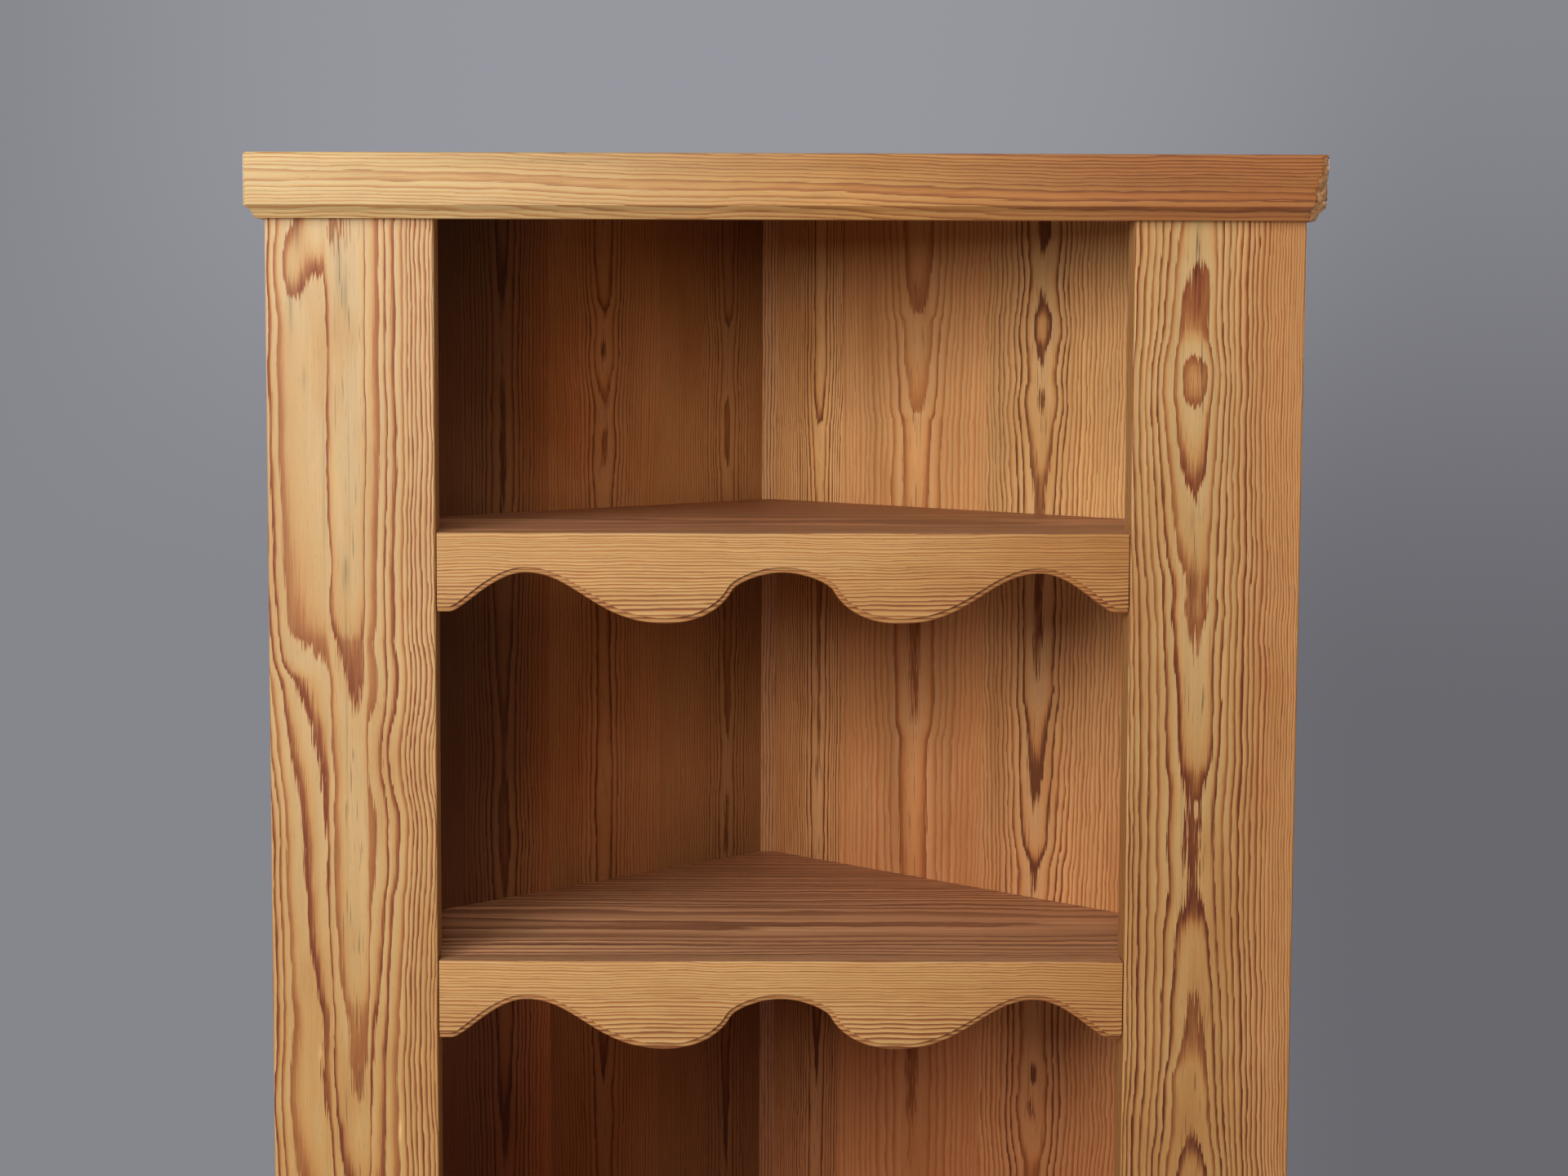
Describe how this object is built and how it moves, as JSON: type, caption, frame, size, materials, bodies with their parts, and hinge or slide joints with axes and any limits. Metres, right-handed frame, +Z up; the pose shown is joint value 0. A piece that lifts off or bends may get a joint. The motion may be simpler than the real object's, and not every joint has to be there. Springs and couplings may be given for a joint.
{
  "type": "corner cabinet",
  "caption": "Tall pine corner cabinet: open shelves with scalloped aprons between broad flat stiles, over a cupboard with a framed door, under a thick moulded top.",
  "frame": {"origin": "on the floor, under the middle of the whole cabinet's bounding box", "axes": "+Z is up; -Y is the way the front faces; +X is to the right as seen from the front; the two backs face +Y at 45 degrees to either side"},
  "size_m": [0.766, 0.4866, 1.8],
  "materials": {
    "pine": "waxed solid pine, planed",
    "pine_back": "waxed solid pine boards",
    "pine_shelf": "worn, greyed pine with a dull surface",
    "pine_rough": "unfinished sawn pine",
    "hardwood": "turned hardwood, waxed",
    "brass": "aged brass",
    "steel": "darkened steel"
  },
  "bodies": {
    "cabinet": {"top_board": "pine", "left_stile": "pine", "right_stile": "pine", "upper_apron": "pine", "middle_apron": "pine", "plinth_apron": "pine", "waist_rail": "pine", "left_side_board": "pine_back", "right_side_board": "pine_back", "corner_batten": "pine_back", "left_back_board_1": "pine_back", "left_back_board_2": "pine_back", "left_back_board_3": "pine_back", "left_back_board_4": "pine_back", "right_back_board_1": "pine_back", "right_back_board_2": "pine_back", "right_back_board_3": "pine_back", "right_back_board_4": "pine_back", "upper_shelf": "pine_shelf", "middle_shelf": "pine_shelf", "waist_shelf": "pine_shelf", "cupboard_shelf": "pine_shelf", "plinth_shelf": "pine_shelf", "upper_left_cleat": "pine_rough", "upper_right_cleat": "pine_rough", "middle_left_cleat": "pine_rough", "middle_right_cleat": "pine_rough", "waist_left_cleat": "pine_rough", "waist_right_cleat": "pine_rough", "cupboard_left_cleat": "pine_rough", "cupboard_right_cleat": "pine_rough", "plinth_left_cleat": "pine_rough", "plinth_right_cleat": "pine_rough", "upper_glue_blocks": "pine_rough", "middle_glue_blocks": "pine_rough", "plinth_glue_blocks": "pine_rough", "door_stop": "pine_rough", "top_dowels": "hardwood", "upper_hinge_frame_leaf": "brass", "upper_hinge_pin": "brass", "lower_hinge_frame_leaf": "brass", "lower_hinge_pin": "brass", "latch_keep": "brass", "frame_screws": "steel", "back_nails": "steel"},
    "door": {"door_hinge_stile": "pine", "door_lock_stile": "pine", "door_top_rail": "pine", "door_bottom_rail": "pine", "door_panel": "pine", "door_pegs": "hardwood", "door_screws": "steel", "upper_hinge_door_leaf": "brass", "lower_hinge_door_leaf": "brass", "latch_rose": "brass"},
    "latch": {"latch_knob": "hardwood", "latch_spindle": "steel", "latch_collar": "steel", "latch_tongue": "steel", "latch_nut": "steel"}
  },
  "joints": [
    {"name": "door_hinge", "type": "hinge", "parent": "cabinet", "child": "door", "pos_m": [-0.2488, -0.21631, 0.471], "axis": [0, 0, -1], "range_deg": [0, 110]},
    {"name": "latch_turn", "type": "hinge", "parent": "door", "child": "latch", "pos_m": [0.2096, -0.21141, 0.55428], "axis": [0, -1, 0], "range_deg": [0, 90]}
  ]
}
